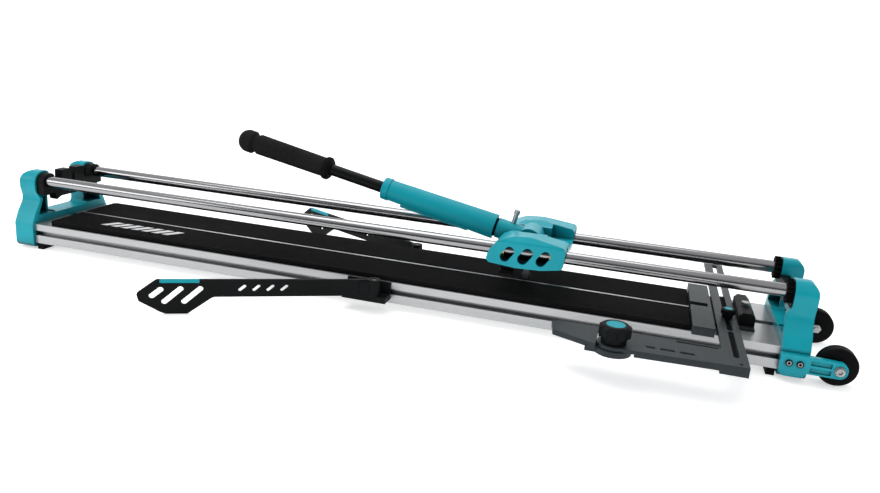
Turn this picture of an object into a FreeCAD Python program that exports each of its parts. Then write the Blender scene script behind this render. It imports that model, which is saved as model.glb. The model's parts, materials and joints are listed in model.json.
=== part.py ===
import FreeCAD, Part
import math
import os
from types import SimpleNamespace

import Sketcher
from FreeCAD import Placement, Rotation, Vector

# Manual tile cutter on two guide rails, in millimetres.
# X runs along the rails towards the transport wheels, Y towards the rear, Z up.
# The origin is on the floor, under the scoring line, half way along the bed.

os.makedirs("parts", exist_ok=True)
doc = FreeCAD.newDocument("TileCutter")
sheet = doc.addObject("Spreadsheet::Sheet", "Sizes")

# ---------------------------------------------------------------- sizes
driving_sizes = {
    # bed: one aluminium extrusion
    "bed_length": 1300,
    "bed_wide": 192,
    "bed_tall": 36,
    "bed_lift": 12,
    "bed_wall": 3,
    "web_wide": 12,
    "side_land": 12,
    "side_slot": 9,
    "slot_deep": 11,
    "channel_wide": 16,
    "channel_deep": 9,
    # rubber tile pads and the ridge the tile snaps over
    "pad_thick": 8,
    "pad_inner": 4,
    "pad_border": 4,
    "pad_start": 29,
    "pad_stop": 1.5,
    "ridge_wide": 5,
    "ridge_foot": 5,
    # rails
    "rail_dia": 20,
    "rail_spread": 128,
    "rail_lift": 75.5,
    "rail_seat": 24,
    # end frames
    "frame_thick": 39,
    "frame_lip": 5,
    "frame_skin": 3.5,
    "frame_wall": 5,
    "frame_crown": 18.5,
    "frame_waist": 13,
    "frame_sill": 12,
    "tower_reach": 18,
    "crown_step": 6,
    "foot_gap": 4.5,
    "pocket_deep": 30,
    # black rail holders
    "rest_stand": 9,
    "rest_sink": 7,
    "stop_front": 5,
    "stop_sink": 20,
    "prong_rise": 24,
    "bumper_thick": 9,
    "bumper_reach": 8.5,
    "bumper_teeth": 14,
    # transport wheels and their brackets
    "wheel_dia": 57,
    "wheel_wide": 24,
    "wheel_overhang": 43,
    "mount_long": 36,
    "bracket_thick": 9,
    "bracket_tall": 34,
    "bracket_arm": 24,
    "bracket_bite": 14,
    "axle_dia": 8,
    # rubber feet
    "foot_long": 12,
    "foot_wide": 44,
    # carriage and its bearings
    "carriage_x": 256,
    "carriage_fore": 55,
    "carriage_aft": 69,
    "carriage_crown": 28.5,
    "carriage_skirt": 22,
    "wing_reach": 24,
    "wing_inner": 19,
    "lever_bay": 48.6,
    "bearing_wall": 5,
    "bearing_long": 14,
    "bearing_inset": 12,
    # lever and handle
    "pivot_lift": 5.5,
    "pivot_dia": 12,
    "lever_tilt": 11.5,
    "boss_dia": 44,
    "neck_dia": 34,
    "neck_end": 58,
    "tube_dia": 20,
    "sleeve_start": 62,
    "sleeve_end": 266,
    "sleeve_dia": 42,
    "grip_start": 380,
    "grip_end": 547,
    "grip_dia": 34,
    "ball_dia": 40,
    # scoring wheel, its holder and the breaker foot
    "score_dia": 16,
    "score_wide": 3,
    "score_pin": 4,
    "ridge_air": 1.3,
    "holder_square": 10,
    "breaker_half": 22,
    "breaker_fore": 31,
    "breaker_pin": 6,
    # folding side arms
    "arm_x": 28,
    "arm_length": 362,
    "arm_thick": 5.4,
    "arm_root": 27,
    "arm_angle": 28.4,
    "hinge_dia": 20,
    "hinge_pin": 8,
    "hinge_stand": 22,
    "hinge_plate": 4,
    "hinge_lug": 10,
    "paddle_gap": 1,
    # measuring fence and sliding square
    "fence_x": 523,
    "fence_wide": 32,
    "fence_front": 109,
    "fence_rear": 109,
    "fence_tall": 13.7,
    "fence_notch": 16,
    "fence_web": 3.3,
    "bar_wide": 29,
    "bar_gap": 8,
    "bar_thick": 5.4,
    "bar_slot": 8,
    "groove_floor": 1.4,
    "bar_rear": 290,
    "square_arm": 58,
    "square_front": 228,
    "square_hub_x": 414.5,
    "square_hub_y": 217,
    "hub_dia": 52,
    "finger_reach": 91,
    "knob_dia": 45,
    "knob_tall": 26,
    "small_knob": 21,
    "small_knob_y": 32,
    "stud_dia": 8,
    # shared fits
    "rest_gap": 0.3,
    "slip_gap": 0.2,
    "running_gap": 0.08,
    "screw_dia": 6,
}

for row, (alias, number) in enumerate(driving_sizes.items(), start=1):
    sheet.set(f"A{row}", alias.replace("_", " "))
    sheet.set(f"B{row}", str(number))
    sheet.setAlias(f"B{row}", alias)
doc.recompute()


class Size:
    """A length with the sheet expression that yields it."""

    def __init__(self, number, text):
        self.number = number
        self.text = text

    def __add__(self, other):
        other = sized(other)
        return Size(self.number + other.number, f"({self.text} + {other.text})")

    def __sub__(self, other):
        other = sized(other)
        return Size(self.number - other.number, f"({self.text} - {other.text})")

    def __mul__(self, other):
        other = sized(other)
        return Size(self.number * other.number, f"{self.text} * {other.text}")

    def __truediv__(self, other):
        other = sized(other)
        return Size(self.number / other.number, f"{self.text} / {other.text}")

    def __neg__(self):
        return Size(-self.number, f"(0 - {self.text})")

    def __radd__(self, other):
        return sized(other) + self

    def __rsub__(self, other):
        return sized(other) - self

    def __rmul__(self, other):
        return sized(other) * self


def sized(value):
    return value if isinstance(value, Size) else Size(value, f"({value:.6f})")


s = SimpleNamespace(**{
    alias: Size(float(sheet.get(alias)), f"Sizes.{alias}") for alias in driving_sizes
})

# ---------------------------------------------------------------- derived places
end_x = s.bed_length / 2
bed_half = s.bed_wide / 2
bed_top = s.bed_lift + s.bed_tall
pad_top = bed_top + s.pad_thick
slot_top = bed_top - s.side_land
slot_low = slot_top - s.side_slot
channel_floor = bed_top - s.channel_deep
channel_half = s.channel_wide / 2

rail_r = s.rail_dia / 2
rail_y = s.rail_spread / 2
rail_z = bed_top + s.rail_lift
frame_y = bed_half + s.frame_lip
frame_x = end_x + s.frame_thick
sill_z = bed_top + s.frame_sill
tower_in = rail_y - s.tower_reach
waist_y = rail_y + s.frame_waist
hip_y = waist_y + 16
holder_low = rail_z - 23

mount_x = end_x + s.mount_long
wheel_x = mount_x + s.wheel_overhang
wheel_r = s.wheel_dia / 2
wheel_z = wheel_r + 0.5
bracket_inner = frame_y + s.rest_gap
bracket_outer = bracket_inner + s.bracket_thick
bracket_screw_xs = (end_x + 11, mount_x - 10)
bracket_screw_z = wheel_z + 1

carriage_left = s.carriage_x - s.carriage_fore
carriage_right = s.carriage_x + s.carriage_aft
wing_outer = rail_y + s.wing_reach
wing_inner = rail_y - s.wing_inner
bay_half = s.lever_bay / 2
wing_root = bay_half + (rail_y - 14 - bay_half) * 0.455
bearing_r = rail_r + s.bearing_wall
pivot_z = rail_z + s.pivot_lift

ridge_top = pad_top - s.rest_gap
score_z = ridge_top + s.ridge_air + s.score_dia / 2
breaker_x = s.carriage_x - s.breaker_fore
breaker_z = pad_top + 32

hinge_y = bed_half + s.hinge_stand
arm_top = pad_top
lug_top = arm_top - s.arm_root - s.rest_gap
lug_low = lug_top - s.hinge_lug

fence_low = bed_top + s.rest_gap
fence_top = fence_low + s.fence_tall
fence_right = s.fence_x + s.fence_wide
web_top = fence_low + s.fence_web
pad_end = s.fence_x - s.pad_stop
bar_x = fence_right + s.bar_gap
bar_right = bar_x + s.bar_wide
bar_low = web_top + s.rest_gap
bar_top = bar_low + s.bar_thick
block_x = bar_right + 1
block_right = block_x + 24
slot_x = bar_x + s.bar_wide / 2
square_rear = s.square_front - s.square_arm - 2


# ---------------------------------------------------------------- building blocks
def bind(obj, prop, value):
    obj.setExpression(prop, sized(value).text)


def place(obj, x=0, y=0, z=0):
    for letter, value in zip("xyz", (x, y, z)):
        bind(obj, f"Placement.Base.{letter}", value)
    return obj


def box(name, xs, ys, zs):
    block = doc.addObject("Part::Box", name)
    for prop, (low, high) in zip(("Length", "Width", "Height"), (xs, ys, zs)):
        bind(block, prop, sized(high) - low)
    return place(block, xs[0], ys[0], zs[0])


turn_to = {
    "x": Rotation(Vector(0, 1, 0), 90),
    "y": Rotation(Vector(1, 0, 0), -90),
    "z": Rotation(),
}


def rod(name, axis, radius, span, x=0, y=0, z=0):
    """Cylinder along one axis, from span[0] to span[1]."""
    bar = doc.addObject("Part::Cylinder", name)
    bar.Placement = Placement(Vector(), turn_to[axis])
    bind(bar, "Radius", radius)
    bind(bar, "Height", sized(span[1]) - span[0])
    start = {"x": (span[0], y, z), "y": (x, span[0], z), "z": (x, y, span[0])}
    return place(bar, *start[axis])


def fuse(name, shapes):
    union = doc.addObject("Part::MultiFuse", name)
    union.Shapes = shapes
    union.Refine = True
    return union


def cut(name, base, tools):
    result = doc.addObject("Part::Cut", name)
    result.Base = base
    result.Tool = tools[0] if len(tools) == 1 else fuse(name + "_tools", tools)
    return result


def common(name, first, second):
    result = doc.addObject("Part::MultiCommon", name)
    result.Shapes = [first, second]
    return result


def group(name, shapes):
    """Separate solids that share one node, as loose copies of one fastener do."""
    bundle = doc.addObject("Part::Compound", name)
    bundle.Links = shapes
    return bundle


def mirrored(name, source, normal):
    """The same piece on the other side of the origin plane across normal."""
    twin = doc.addObject("Part::Mirroring", name)
    twin.Source = source
    twin.Normal = normal
    return twin


def pin_point(sketch, index, point, x, y):
    """Hold one point of a sketch curve at sheet-driven coordinates."""
    for kind, value in (("DistanceX", x), ("DistanceY", y)):
        rule = Sketcher.Constraint(kind, -1, 1, index, point, sized(value).number)
        number = sketch.addConstraint(rule)
        sketch.setExpression(f"Constraints[{number}]", sized(value).text)


def add_loop(sketch, points):
    first = sketch.GeometryCount
    count = len(points)
    corners = [Vector(sized(x).number, sized(y).number, 0) for x, y in points]
    for i in range(count):
        sketch.addGeometry(Part.LineSegment(corners[i], corners[(i + 1) % count]))
    for i in range(count):
        joined = Sketcher.Constraint("Coincident", first + i, 2, first + (i + 1) % count, 1)
        sketch.addConstraint(joined)
        pin_point(sketch, first + i, 1, *points[i])


def add_circle(sketch, x, y, radius):
    centre = Vector(sized(x).number, sized(y).number, 0)
    index = sketch.addGeometry(Part.Circle(centre, Vector(0, 0, 1), sized(radius).number))
    pin_point(sketch, index, 3, x, y)
    rule = sketch.addConstraint(Sketcher.Constraint("Radius", index, sized(radius).number))
    sketch.setExpression(f"Constraints[{rule}]", sized(radius).text)


def add_slot(sketch, start, end, wide):
    """Round-ended slot whose two end centres and width are given."""
    a = Vector(sized(start[0]).number, sized(start[1]).number, 0)
    b = Vector(sized(end[0]).number, sized(end[1]).number, 0)
    radius = sized(wide).number / 2
    heading = math.atan2(b.y - a.y, b.x - a.x)
    side = Vector(-math.sin(heading), math.cos(heading), 0) * radius
    up = Vector(0, 0, 1)
    quarter = math.pi / 2
    near = sketch.addGeometry(Part.ArcOfCircle(
        Part.Circle(a, up, radius), heading + quarter, heading + 3 * quarter))
    far = sketch.addGeometry(Part.ArcOfCircle(
        Part.Circle(b, up, radius), heading - quarter, heading + quarter))
    low = sketch.addGeometry(Part.LineSegment(a - side, b - side))
    high = sketch.addGeometry(Part.LineSegment(b + side, a + side))
    for one, one_end, two, two_end in (
        (near, 2, low, 1), (low, 2, far, 1), (far, 2, high, 1), (high, 2, near, 1),
    ):
        sketch.addConstraint(Sketcher.Constraint("Tangent", one, one_end, two, two_end))
    sketch.addConstraint(Sketcher.Constraint("Equal", near, far))
    pin_point(sketch, near, 3, *start)
    pin_point(sketch, far, 3, *end)
    rule = sketch.addConstraint(Sketcher.Constraint("Radius", near, radius))
    sketch.setExpression(f"Constraints[{rule}]", f"({sized(wide).text}) / 2")


def new_body(name, plane, offset):
    """Body with one empty sketch on an origin plane, moved along its normal."""
    body = doc.addObject("PartDesign::Body", name)
    sketch = body.newObject("Sketcher::SketchObject", name + "_sketch")
    support = [f for f in body.Origin.OriginFeatures if f.Role == plane][0]
    sketch.AttachmentSupport = [(support, "")]
    sketch.MapMode = "FlatFace"
    sketch.AttachmentOffset = Placement(Vector(), Rotation())
    bind(sketch, "AttachmentOffset.Base.z", offset)
    return body, sketch


def round_edges(body, radius, chosen):
    """Fillet the edges of the body's tip that the test picks."""
    doc.recompute()
    tip = body.Tip
    names = [f"Edge{i}" for i, edge in enumerate(tip.Shape.Edges, 1) if chosen(edge)]
    if not names:
        raise RuntimeError(f"{body.Name}: no edge to round")
    fillet = body.newObject("PartDesign::Fillet", body.Name + "_round")
    fillet.Base = (tip, names)
    bind(fillet, "Radius", radius)
    body.Tip = fillet


plane_of = {"x": "YZ_Plane", "y": "XZ_Plane", "z": "XY_Plane"}


def slot_core(name, axis, span, start, end, wide):
    """Solid that fills a round-ended slot."""
    low, high = sized(span[0]), sized(span[1])
    body, sketch = new_body(name, plane_of[axis], -high if axis == "y" else low)
    add_slot(sketch, start, end, wide)
    pad = body.newObject("PartDesign::Pad", name + "_pad")
    pad.Profile = sketch
    bind(pad, "Length", high - low)
    body.Tip = pad
    return body


def prism(name, axis, span, outline, slots=(), circles=(), loops=(), rounds=()):
    """Flat outline padded along one axis; rounds lists (radius, corners)."""
    low, high = sized(span[0]), sized(span[1])
    # the XZ plane's normal points to -Y, so a pad along Y starts at its far face
    body, sketch = new_body(name, plane_of[axis], -high if axis == "y" else low)
    add_loop(sketch, outline)
    for start, end, wide in slots:
        add_slot(sketch, start, end, wide)
    for x, y, radius in circles:
        add_circle(sketch, x, y, radius)
    for points in loops:
        add_loop(sketch, points)
    pad = body.newObject("PartDesign::Pad", name + "_pad")
    pad.Profile = sketch
    bind(pad, "Length", high - low)
    body.Tip = pad
    across = {"x": ("y", "z"), "y": ("x", "z"), "z": ("x", "y")}[axis]

    def runs_through(edge, corner):
        ends = [v.Point for v in edge.Vertexes]
        return len(ends) == 2 and all(
            abs(getattr(end, letter) - sized(value).number) < 1e-4
            for end in ends for letter, value in zip(across, corner))

    for radius, corners in rounds:
        round_edges(body, radius, lambda e, c=corners: any(runs_through(e, p) for p in c))
    return body


def turned(name, axis, profile, rounds=()):
    """Profile of (along, radius) points spun about one axis through the origin."""
    body, sketch = new_body(name, {"x": "XY_Plane", "y": "YZ_Plane", "z": "XZ_Plane"}[axis], 0)
    upright = axis == "z"
    add_loop(sketch, [(r, a) if upright else (a, r) for a, r in profile])
    spin = body.newObject("PartDesign::Revolution", name + "_spin")
    spin.Profile = sketch
    spin.ReferenceAxis = (sketch, ["V_Axis" if upright else "H_Axis"])
    spin.Angle = 360
    body.Tip = spin

    def is_rim(edge, along, radius):
        ring = edge.Curve
        if not isinstance(ring, Part.Circle):
            return False
        return (abs(ring.Radius - sized(radius).number) < 1e-4
                and abs(getattr(ring.Center, axis) - sized(along).number) < 1e-4)

    for radius, rims in rounds:
        round_edges(body, radius, lambda e, c=rims: any(is_rim(e, *p) for p in c))
    return body


def both_sides(points):
    """Closed outline from its positive half, mirrored across the first axis' zero."""
    return list(points) + [(-sized(x), y) for x, y in reversed(points)]


nodes = []


def node(name, obj):
    obj.Label = name
    nodes.append(obj)
    return obj


# ---------------------------------------------------------------- bed
def build_bed():
    half_profile = [
        (bed_half, s.bed_lift),
        (bed_half, slot_low),
        (bed_half - s.slot_deep, slot_low),
        (bed_half - s.slot_deep, slot_top),
        (bed_half, slot_top),
        (bed_half, bed_top),
        (channel_half, bed_top),
        (channel_half, channel_floor),
    ]
    web = bed_half / 2
    floor, ceiling = s.bed_lift + s.bed_wall, bed_top - s.bed_wall
    chambers = []
    for inner, outer in (
        (channel_half + s.bed_wall, web - s.web_wide / 2),
        (web + s.web_wide / 2, bed_half - s.slot_deep - s.bed_wall),
    ):
        for side in (1, -1):
            chambers.append([
                (inner * side, floor), (outer * side, floor),
                (outer * side, ceiling), (inner * side, ceiling),
            ])
    extrusion = prism("bed_profile", "x", (-end_x, end_x), both_sides(half_profile), loops=chambers)
    taps = [
        rod("bed_tap", "x", s.screw_dia / 2 + s.running_gap, span, y=y, z=z)
        for span in ((-end_x, -end_x + 24), (end_x - 24, end_x))
        for y, z in end_screw_places()
    ]
    node("base_extrusion", cut("bed_drilled", extrusion, taps))

    for name, ys in (
        ("front_pad", (-(bed_half - s.pad_border), -s.pad_inner)),
        ("rear_pad", (s.pad_inner, bed_half - s.pad_border)),
    ):
        node(name, box(name + "_slab", (-(end_x - s.pad_start), pad_end), ys, (bed_top, pad_top)))

    foot_half = channel_half - s.slip_gap
    strip_half = s.ridge_wide / 2
    foot_top = channel_floor + s.ridge_foot
    ridge = [
        (foot_half, channel_floor), (foot_half, foot_top),
        (strip_half, foot_top), (strip_half, ridge_top - 1.5), (0.4, ridge_top),
    ]
    node("breaking_ridge", prism("ridge", "x", (-(end_x - s.pad_start), pad_end), both_sides(ridge)))


def end_screw_places():
    """Centres of the screws that hold an end frame to the bed: both webs and the middle."""
    middle = s.bed_lift + s.bed_tall / 2
    low = (s.bed_lift + channel_floor) / 2
    return [(-bed_half / 2, middle), (0, low), (bed_half / 2, middle)]


def build_feet():
    blocks = []
    for side in (-1, 1):
        for face in (-1, 1):
            far = end_x - 2
            xs = sorted((far * side, (far - s.foot_long) * side), key=lambda v: v.number)
            outer = bed_half - 2
            ys = sorted((outer * face, (outer - s.foot_wide) * face), key=lambda v: v.number)
            blocks.append(box("foot_block", xs, ys, (0, s.bed_lift)))
    node("rubber_feet", group("feet", blocks))


# ---------------------------------------------------------------- end frames and rails
def frame_outline():
    crown = rail_z + s.frame_crown
    shoulder = rail_y + rail_r + 10
    waist_z = rail_z - 33
    return [
        (bed_half - 38, s.bed_lift - s.rest_gap),
        (bed_half - 32, s.foot_gap),
        (frame_y - 4, s.foot_gap),
        (frame_y, s.foot_gap + 6),
        (frame_y, bed_top),
        (hip_y, bed_top + 18),
        (waist_y, waist_z),
        (shoulder - 1, rail_z - 13),
        (shoulder, crown),
        (rail_y - 19, crown),
        (tower_in, rail_z - 12),
        (tower_in, sill_z),
    ]


def holder_outline(grow, prongs):
    """Half outline of a black rail holder; grow widens it into its seat."""
    outer = rail_y + rail_r + 10 - s.frame_skin + grow
    crown = rail_z + s.frame_crown - s.frame_skin + grow
    beam_top = rail_z - 7
    half = [
        (tower_in - 12, holder_low - 9 - grow),
        (tower_in - s.rest_gap, holder_low - 14 - grow),
        (tower_in + 4, holder_low - grow),
        (outer - 3, holder_low - grow),
        (outer, crown),
        (rail_y - 15 - grow, crown),
        (rail_y - 15 - grow, beam_top + grow),
    ]
    if prongs:
        tip = beam_top + s.prong_rise
        half += [(31, beam_top), (30, tip), (8, tip), (6, tip - 8), (2, beam_top - 2)]
    return half


def build_end_frames():
    half = frame_outline()
    frame = prism(
        "frame_casting", "x", (end_x, frame_x), both_sides(half),
        rounds=[
            (21, [half[8], (-half[8][0], half[8][1])]),
            (10, [half[9], (-half[9][0], half[9][1])]),
            (22, [half[6], (-half[6][0], half[6][1])]),
            (26, [half[5], (-half[5][0], half[5][1])]),
            (8, [half[11], (-half[11][0], half[11][1])]),
        ])
    crown = rail_z + s.frame_crown
    step_x = end_x + s.crown_step
    side_view = prism("frame_side", "y", (-frame_y - 1, frame_y + 1), [
        (end_x, s.foot_gap - 1), (frame_x, s.foot_gap - 1), (frame_x, crown + 0.5), (step_x, crown + 0.5),
        (step_x, rail_z - 20), (end_x, rail_z - 30)],
        rounds=[(17, [(frame_x, crown + 0.5)]), (4, [(frame_x, s.foot_gap - 1)])])
    solid = common("frame_solid", frame, side_view)
    inner_wall = tower_in + s.frame_wall
    skin_foot = hip_y - s.frame_wall
    skin_waist = waist_y - s.frame_wall
    low, high = sill_z + 2, holder_low - 5
    tools = []
    for side in (1, -1):
        pocket = [(inner_wall, low), (skin_foot - 4, low), (skin_waist, high - 6),
                  (skin_waist, high), (inner_wall, high)]
        tools.append(prism("frame_pocket", "x", (end_x, end_x + s.pocket_deep),
                           [(sized(y) * side, z) for y, z in pocket]))
        # the tower's inner flange stands back from the bed side
        flange = sorted((tower_in * side - side, (inner_wall + 1) * side), key=lambda v: v.number)
        tools.append(box("flange_relief", (end_x - 1, end_x + 13), flange, (low, high)))
    for y in (rail_y, -rail_y):
        tools.append(rod("rail_seat_bore", "x", rail_r + s.slip_gap,
                         (end_x, end_x + s.rail_seat + s.rest_gap), y=y, z=rail_z))
        tools.append(rod("rail_screw_bore", "x", s.screw_dia / 2 + s.slip_gap,
                         (end_x, frame_x), y=y, z=rail_z))
        tools.append(rod("rail_screw_sink", "x", s.screw_dia + s.slip_gap,
                         (frame_x - 7, frame_x), y=y, z=rail_z))
    for y, z in end_screw_places():
        tools.append(rod("bed_screw_bore", "x", s.screw_dia / 2 + s.slip_gap,
                         (end_x, frame_x), y=y, z=z))
        tools.append(rod("bed_screw_sink", "x", s.screw_dia + s.slip_gap,
                         (frame_x - 7, frame_x), y=y, z=z))
    casting = cut("end_casting", solid, tools)
    fitting = [holder_block("stop_seat", (end_x, end_x + s.stop_sink + s.slip_gap), s.slip_gap, False)]
    for y in (-frame_y, frame_y - s.bracket_bite - 2):
        for x in bracket_screw_xs:
            fitting.append(rod("bracket_bore", "y", s.screw_dia / 2 + s.slip_gap,
                               (y, y + s.bracket_bite + 2), x=x, z=bracket_screw_z))
    node("right_end_frame", cut("right_frame", casting, fitting))
    node("left_end_frame", cut("left_frame", mirrored("left_casting", casting, Vector(1, 0, 0)), [
        holder_block("rest_seat", (-end_x - s.rest_sink - s.slip_gap, -end_x), s.slip_gap, False)]))


def holder_block(name, xs, grow, prongs):
    half = holder_outline(grow, prongs)
    return prism(name, "x", xs, both_sides(half), rounds=[
        (17 + grow, [half[4], (-half[4][0], half[4][1])]),
        (9, [half[5], (-half[5][0], half[5][1])])])


def build_rail_holders():
    for name, prongs, xs in (
        ("right_rail_holder", False, (end_x + s.stop_front, end_x + s.stop_sink)),
        ("left_rail_holder", True, (-end_x - s.rest_sink, -end_x + s.rest_stand)),
    ):
        bores = [
            rod("holder_bore", "x", rail_r + s.slip_gap, xs, y=y, z=rail_z)
            for y in (rail_y, -rail_y)
        ]
        node(name, cut(name + "_bored", holder_block(name + "_block", xs, 0, prongs), bores))


def build_rails():
    tip = end_x + s.rail_seat
    for name, y in (("front_rail", -rail_y), ("rear_rail", rail_y)):
        bar = rod(name + "_bar", "x", rail_r, (-tip, tip), y=y, z=rail_z)
        taps = [
            rod("rail_tap", "x", s.screw_dia / 2 + s.running_gap, span, y=y, z=rail_z)
            for span in ((-tip, -tip + 16), (tip - 16, tip))
        ]
        node(name, cut(name + "_tapped", bar, taps))


def socket_screw(name, start, end, side, y, z):
    """Cap screw along X: head sunk at end, shank reaching back to start."""
    head = s.screw_dia
    shank = (start, end - head) if side > 0 else (-(end - head), -start)
    crown = (end - head, end - 0.5) if side > 0 else (-(end - 0.5), -(end - head))
    key = (end - 3.5, end - 0.5) if side > 0 else (-(end - 0.5), -(end - 3.5))
    body = fuse(name + "_body", [
        rod(name + "_shank", "x", s.screw_dia / 2, shank, y=y, z=z),
        rod(name + "_head", "x", s.screw_dia, crown, y=y, z=z),
    ])
    return cut(name, body, [rod(name + "_key", "x", s.screw_dia / 2.4, key, y=y, z=z)])


def build_frame_screws():
    rail_tip = end_x + s.rail_seat
    rail_set = [
        socket_screw("rail_screw", rail_tip - 14, frame_x - 1, side, y, rail_z)
        for side in (1, -1) for y in (rail_y, -rail_y)
    ]
    node("rail_screws", group("rail_screw_set", rail_set))
    bed_set = [
        socket_screw("bed_screw", end_x - 22, frame_x - 1, side, y, z)
        for side in (1, -1) for y, z in end_screw_places()
    ]
    node("end_frame_screws", group("bed_screw_set", bed_set))


def build_bumpers():
    """Toothed rubber rings that stop the carriage at the wheel end."""
    far = end_x + s.stop_front - s.slip_gap
    for name, y in (("front_bumper", -rail_y), ("rear_bumper", rail_y)):
        teeth = int(s.bumper_teeth.number)
        points = []
        for i in range(2 * teeth):
            turn = math.pi * i / teeth
            reach = rail_r + s.bumper_reach * (1 if i % 2 else 0.4)
            points.append((y + reach * math.cos(turn), rail_z + reach * math.sin(turn)))
        node(name, prism(
            name + "_ring", "x", (far - s.bumper_thick, far), points,
            circles=[(y, rail_z, rail_r + s.slip_gap)]))


# ---------------------------------------------------------------- transport wheels
def build_wheel_brackets():
    mount_low = s.foot_gap + 4.5
    top = mount_low + s.bracket_tall
    arm_low = wheel_z - s.bracket_arm / 2
    arm_high = wheel_z + s.bracket_arm / 2
    tip = wheel_x + 11
    corner = (tip, arm_low)
    crest = (tip, arm_high)
    outline = [
        (end_x - 1, mount_low + 6), (end_x + 5, mount_low), (mount_x - 5, mount_low),
        (mount_x + 1, mount_low + 7), (mount_x + 1, arm_low), corner, crest,
        (mount_x, top), (end_x - 1, top),
    ]
    plate = prism(
        "bracket_plate", "y", (-bracket_outer, -bracket_inner), outline,
        circles=[(wheel_x, wheel_z, s.axle_dia / 2 + s.slip_gap)]
        + [(x, bracket_screw_z, s.screw_dia / 2 + s.slip_gap) for x in bracket_screw_xs],
        rounds=[(11, [corner, crest])])
    recess = s.bracket_arm / 2 - 5
    tools = [
        box("bracket_recess", (mount_x + 4, wheel_x - 11), (-bracket_outer, -bracket_outer + 2.5), zs)
        for zs in ((wheel_z + 2, wheel_z + 2 + recess), (wheel_z - 2 - recess, wheel_z - 2))
    ]
    front = node("front_wheel_bracket", cut("front_bracket", plate, tools))
    node("rear_wheel_bracket", mirrored("rear_bracket", front, Vector(0, 1, 0)))

    screws = []
    for side in (-1, 1):
        for x in bracket_screw_xs:
            def reach(near, far):
                return (-far, -near) if side < 0 else (near, far)

            shank = reach(frame_y - s.bracket_bite, bracket_outer)
            head = reach(bracket_outer, bracket_outer + 2.5)
            key = reach(bracket_outer - 1, bracket_outer + 2.5)
            body = fuse("bracket_screw_body", [
                rod("bracket_screw_shank", "y", s.screw_dia / 2, shank, x=x, z=bracket_screw_z),
                rod("bracket_screw_head", "y", s.screw_dia * 0.8, head, x=x, z=bracket_screw_z),
            ])
            screws.append(cut("bracket_screw", body, [
                rod("bracket_screw_key", "y", s.screw_dia / 3, key, x=x, z=bracket_screw_z)]))
    node("bracket_screws", group("bracket_screw_set", screws))


def build_wheels():
    near = bracket_inner - s.rest_gap
    tread_out = near - 3
    tread_in = tread_out - s.wheel_wide
    hub_in = tread_in - 1.2
    bore = s.axle_dia / 2 + s.running_gap
    profile = [
        (-near, bore), (-near, 10), (-tread_out - 0.5, 10), (-tread_out, wheel_r - 8),
        (-tread_out, wheel_r), (-tread_in, wheel_r), (-tread_in, wheel_r - 8),
        (-tread_in - 0.5, 10), (-hub_in, 10), (-hub_in, bore),
    ]
    wheel = turned("front_wheel_body", "y", profile, rounds=[
        (5, [(-tread_out, wheel_r), (-tread_in, wheel_r)])])
    front = node("front_wheel", place(wheel, wheel_x, 0, wheel_z))
    node("rear_wheel", mirrored("rear_wheel_twin", front, Vector(0, 1, 0)))

    nut_out = hub_in - s.rest_gap
    nut_in = nut_out - 6.5
    head = bracket_outer + 5
    bolt = fuse("front_axle", [
        rod("axle_shank", "y", s.axle_dia / 2, (-bracket_outer, -nut_in + 2), x=wheel_x, z=wheel_z),
        rod("axle_head", "y", s.axle_dia * 0.85, (-head, -bracket_outer), x=wheel_x, z=wheel_z),
    ])
    front_bolt = node("front_axle_bolt", bolt)
    node("rear_axle_bolt", mirrored("rear_axle", front_bolt, Vector(0, 1, 0)))
    nut = hex_nut("axle_nut", "y", (-nut_out, -nut_in), wheel_x, wheel_z, s.axle_dia)
    node("axle_nuts", group("axle_nut_pair", [nut, mirrored("axle_nut_twin", nut, Vector(0, 1, 0))]))


def hex_nut(name, axis, span, u, v, thread):
    """Six-sided nut round a thread; u and v are its centre across the axis."""
    reach = thread * 0.92
    corners = [
        (u + reach * math.cos(math.radians(60 * i)), v + reach * math.sin(math.radians(60 * i)))
        for i in range(6)
    ]
    return prism(name, axis, span, corners, circles=[(u, v, thread / 2 + s.running_gap)])


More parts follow.
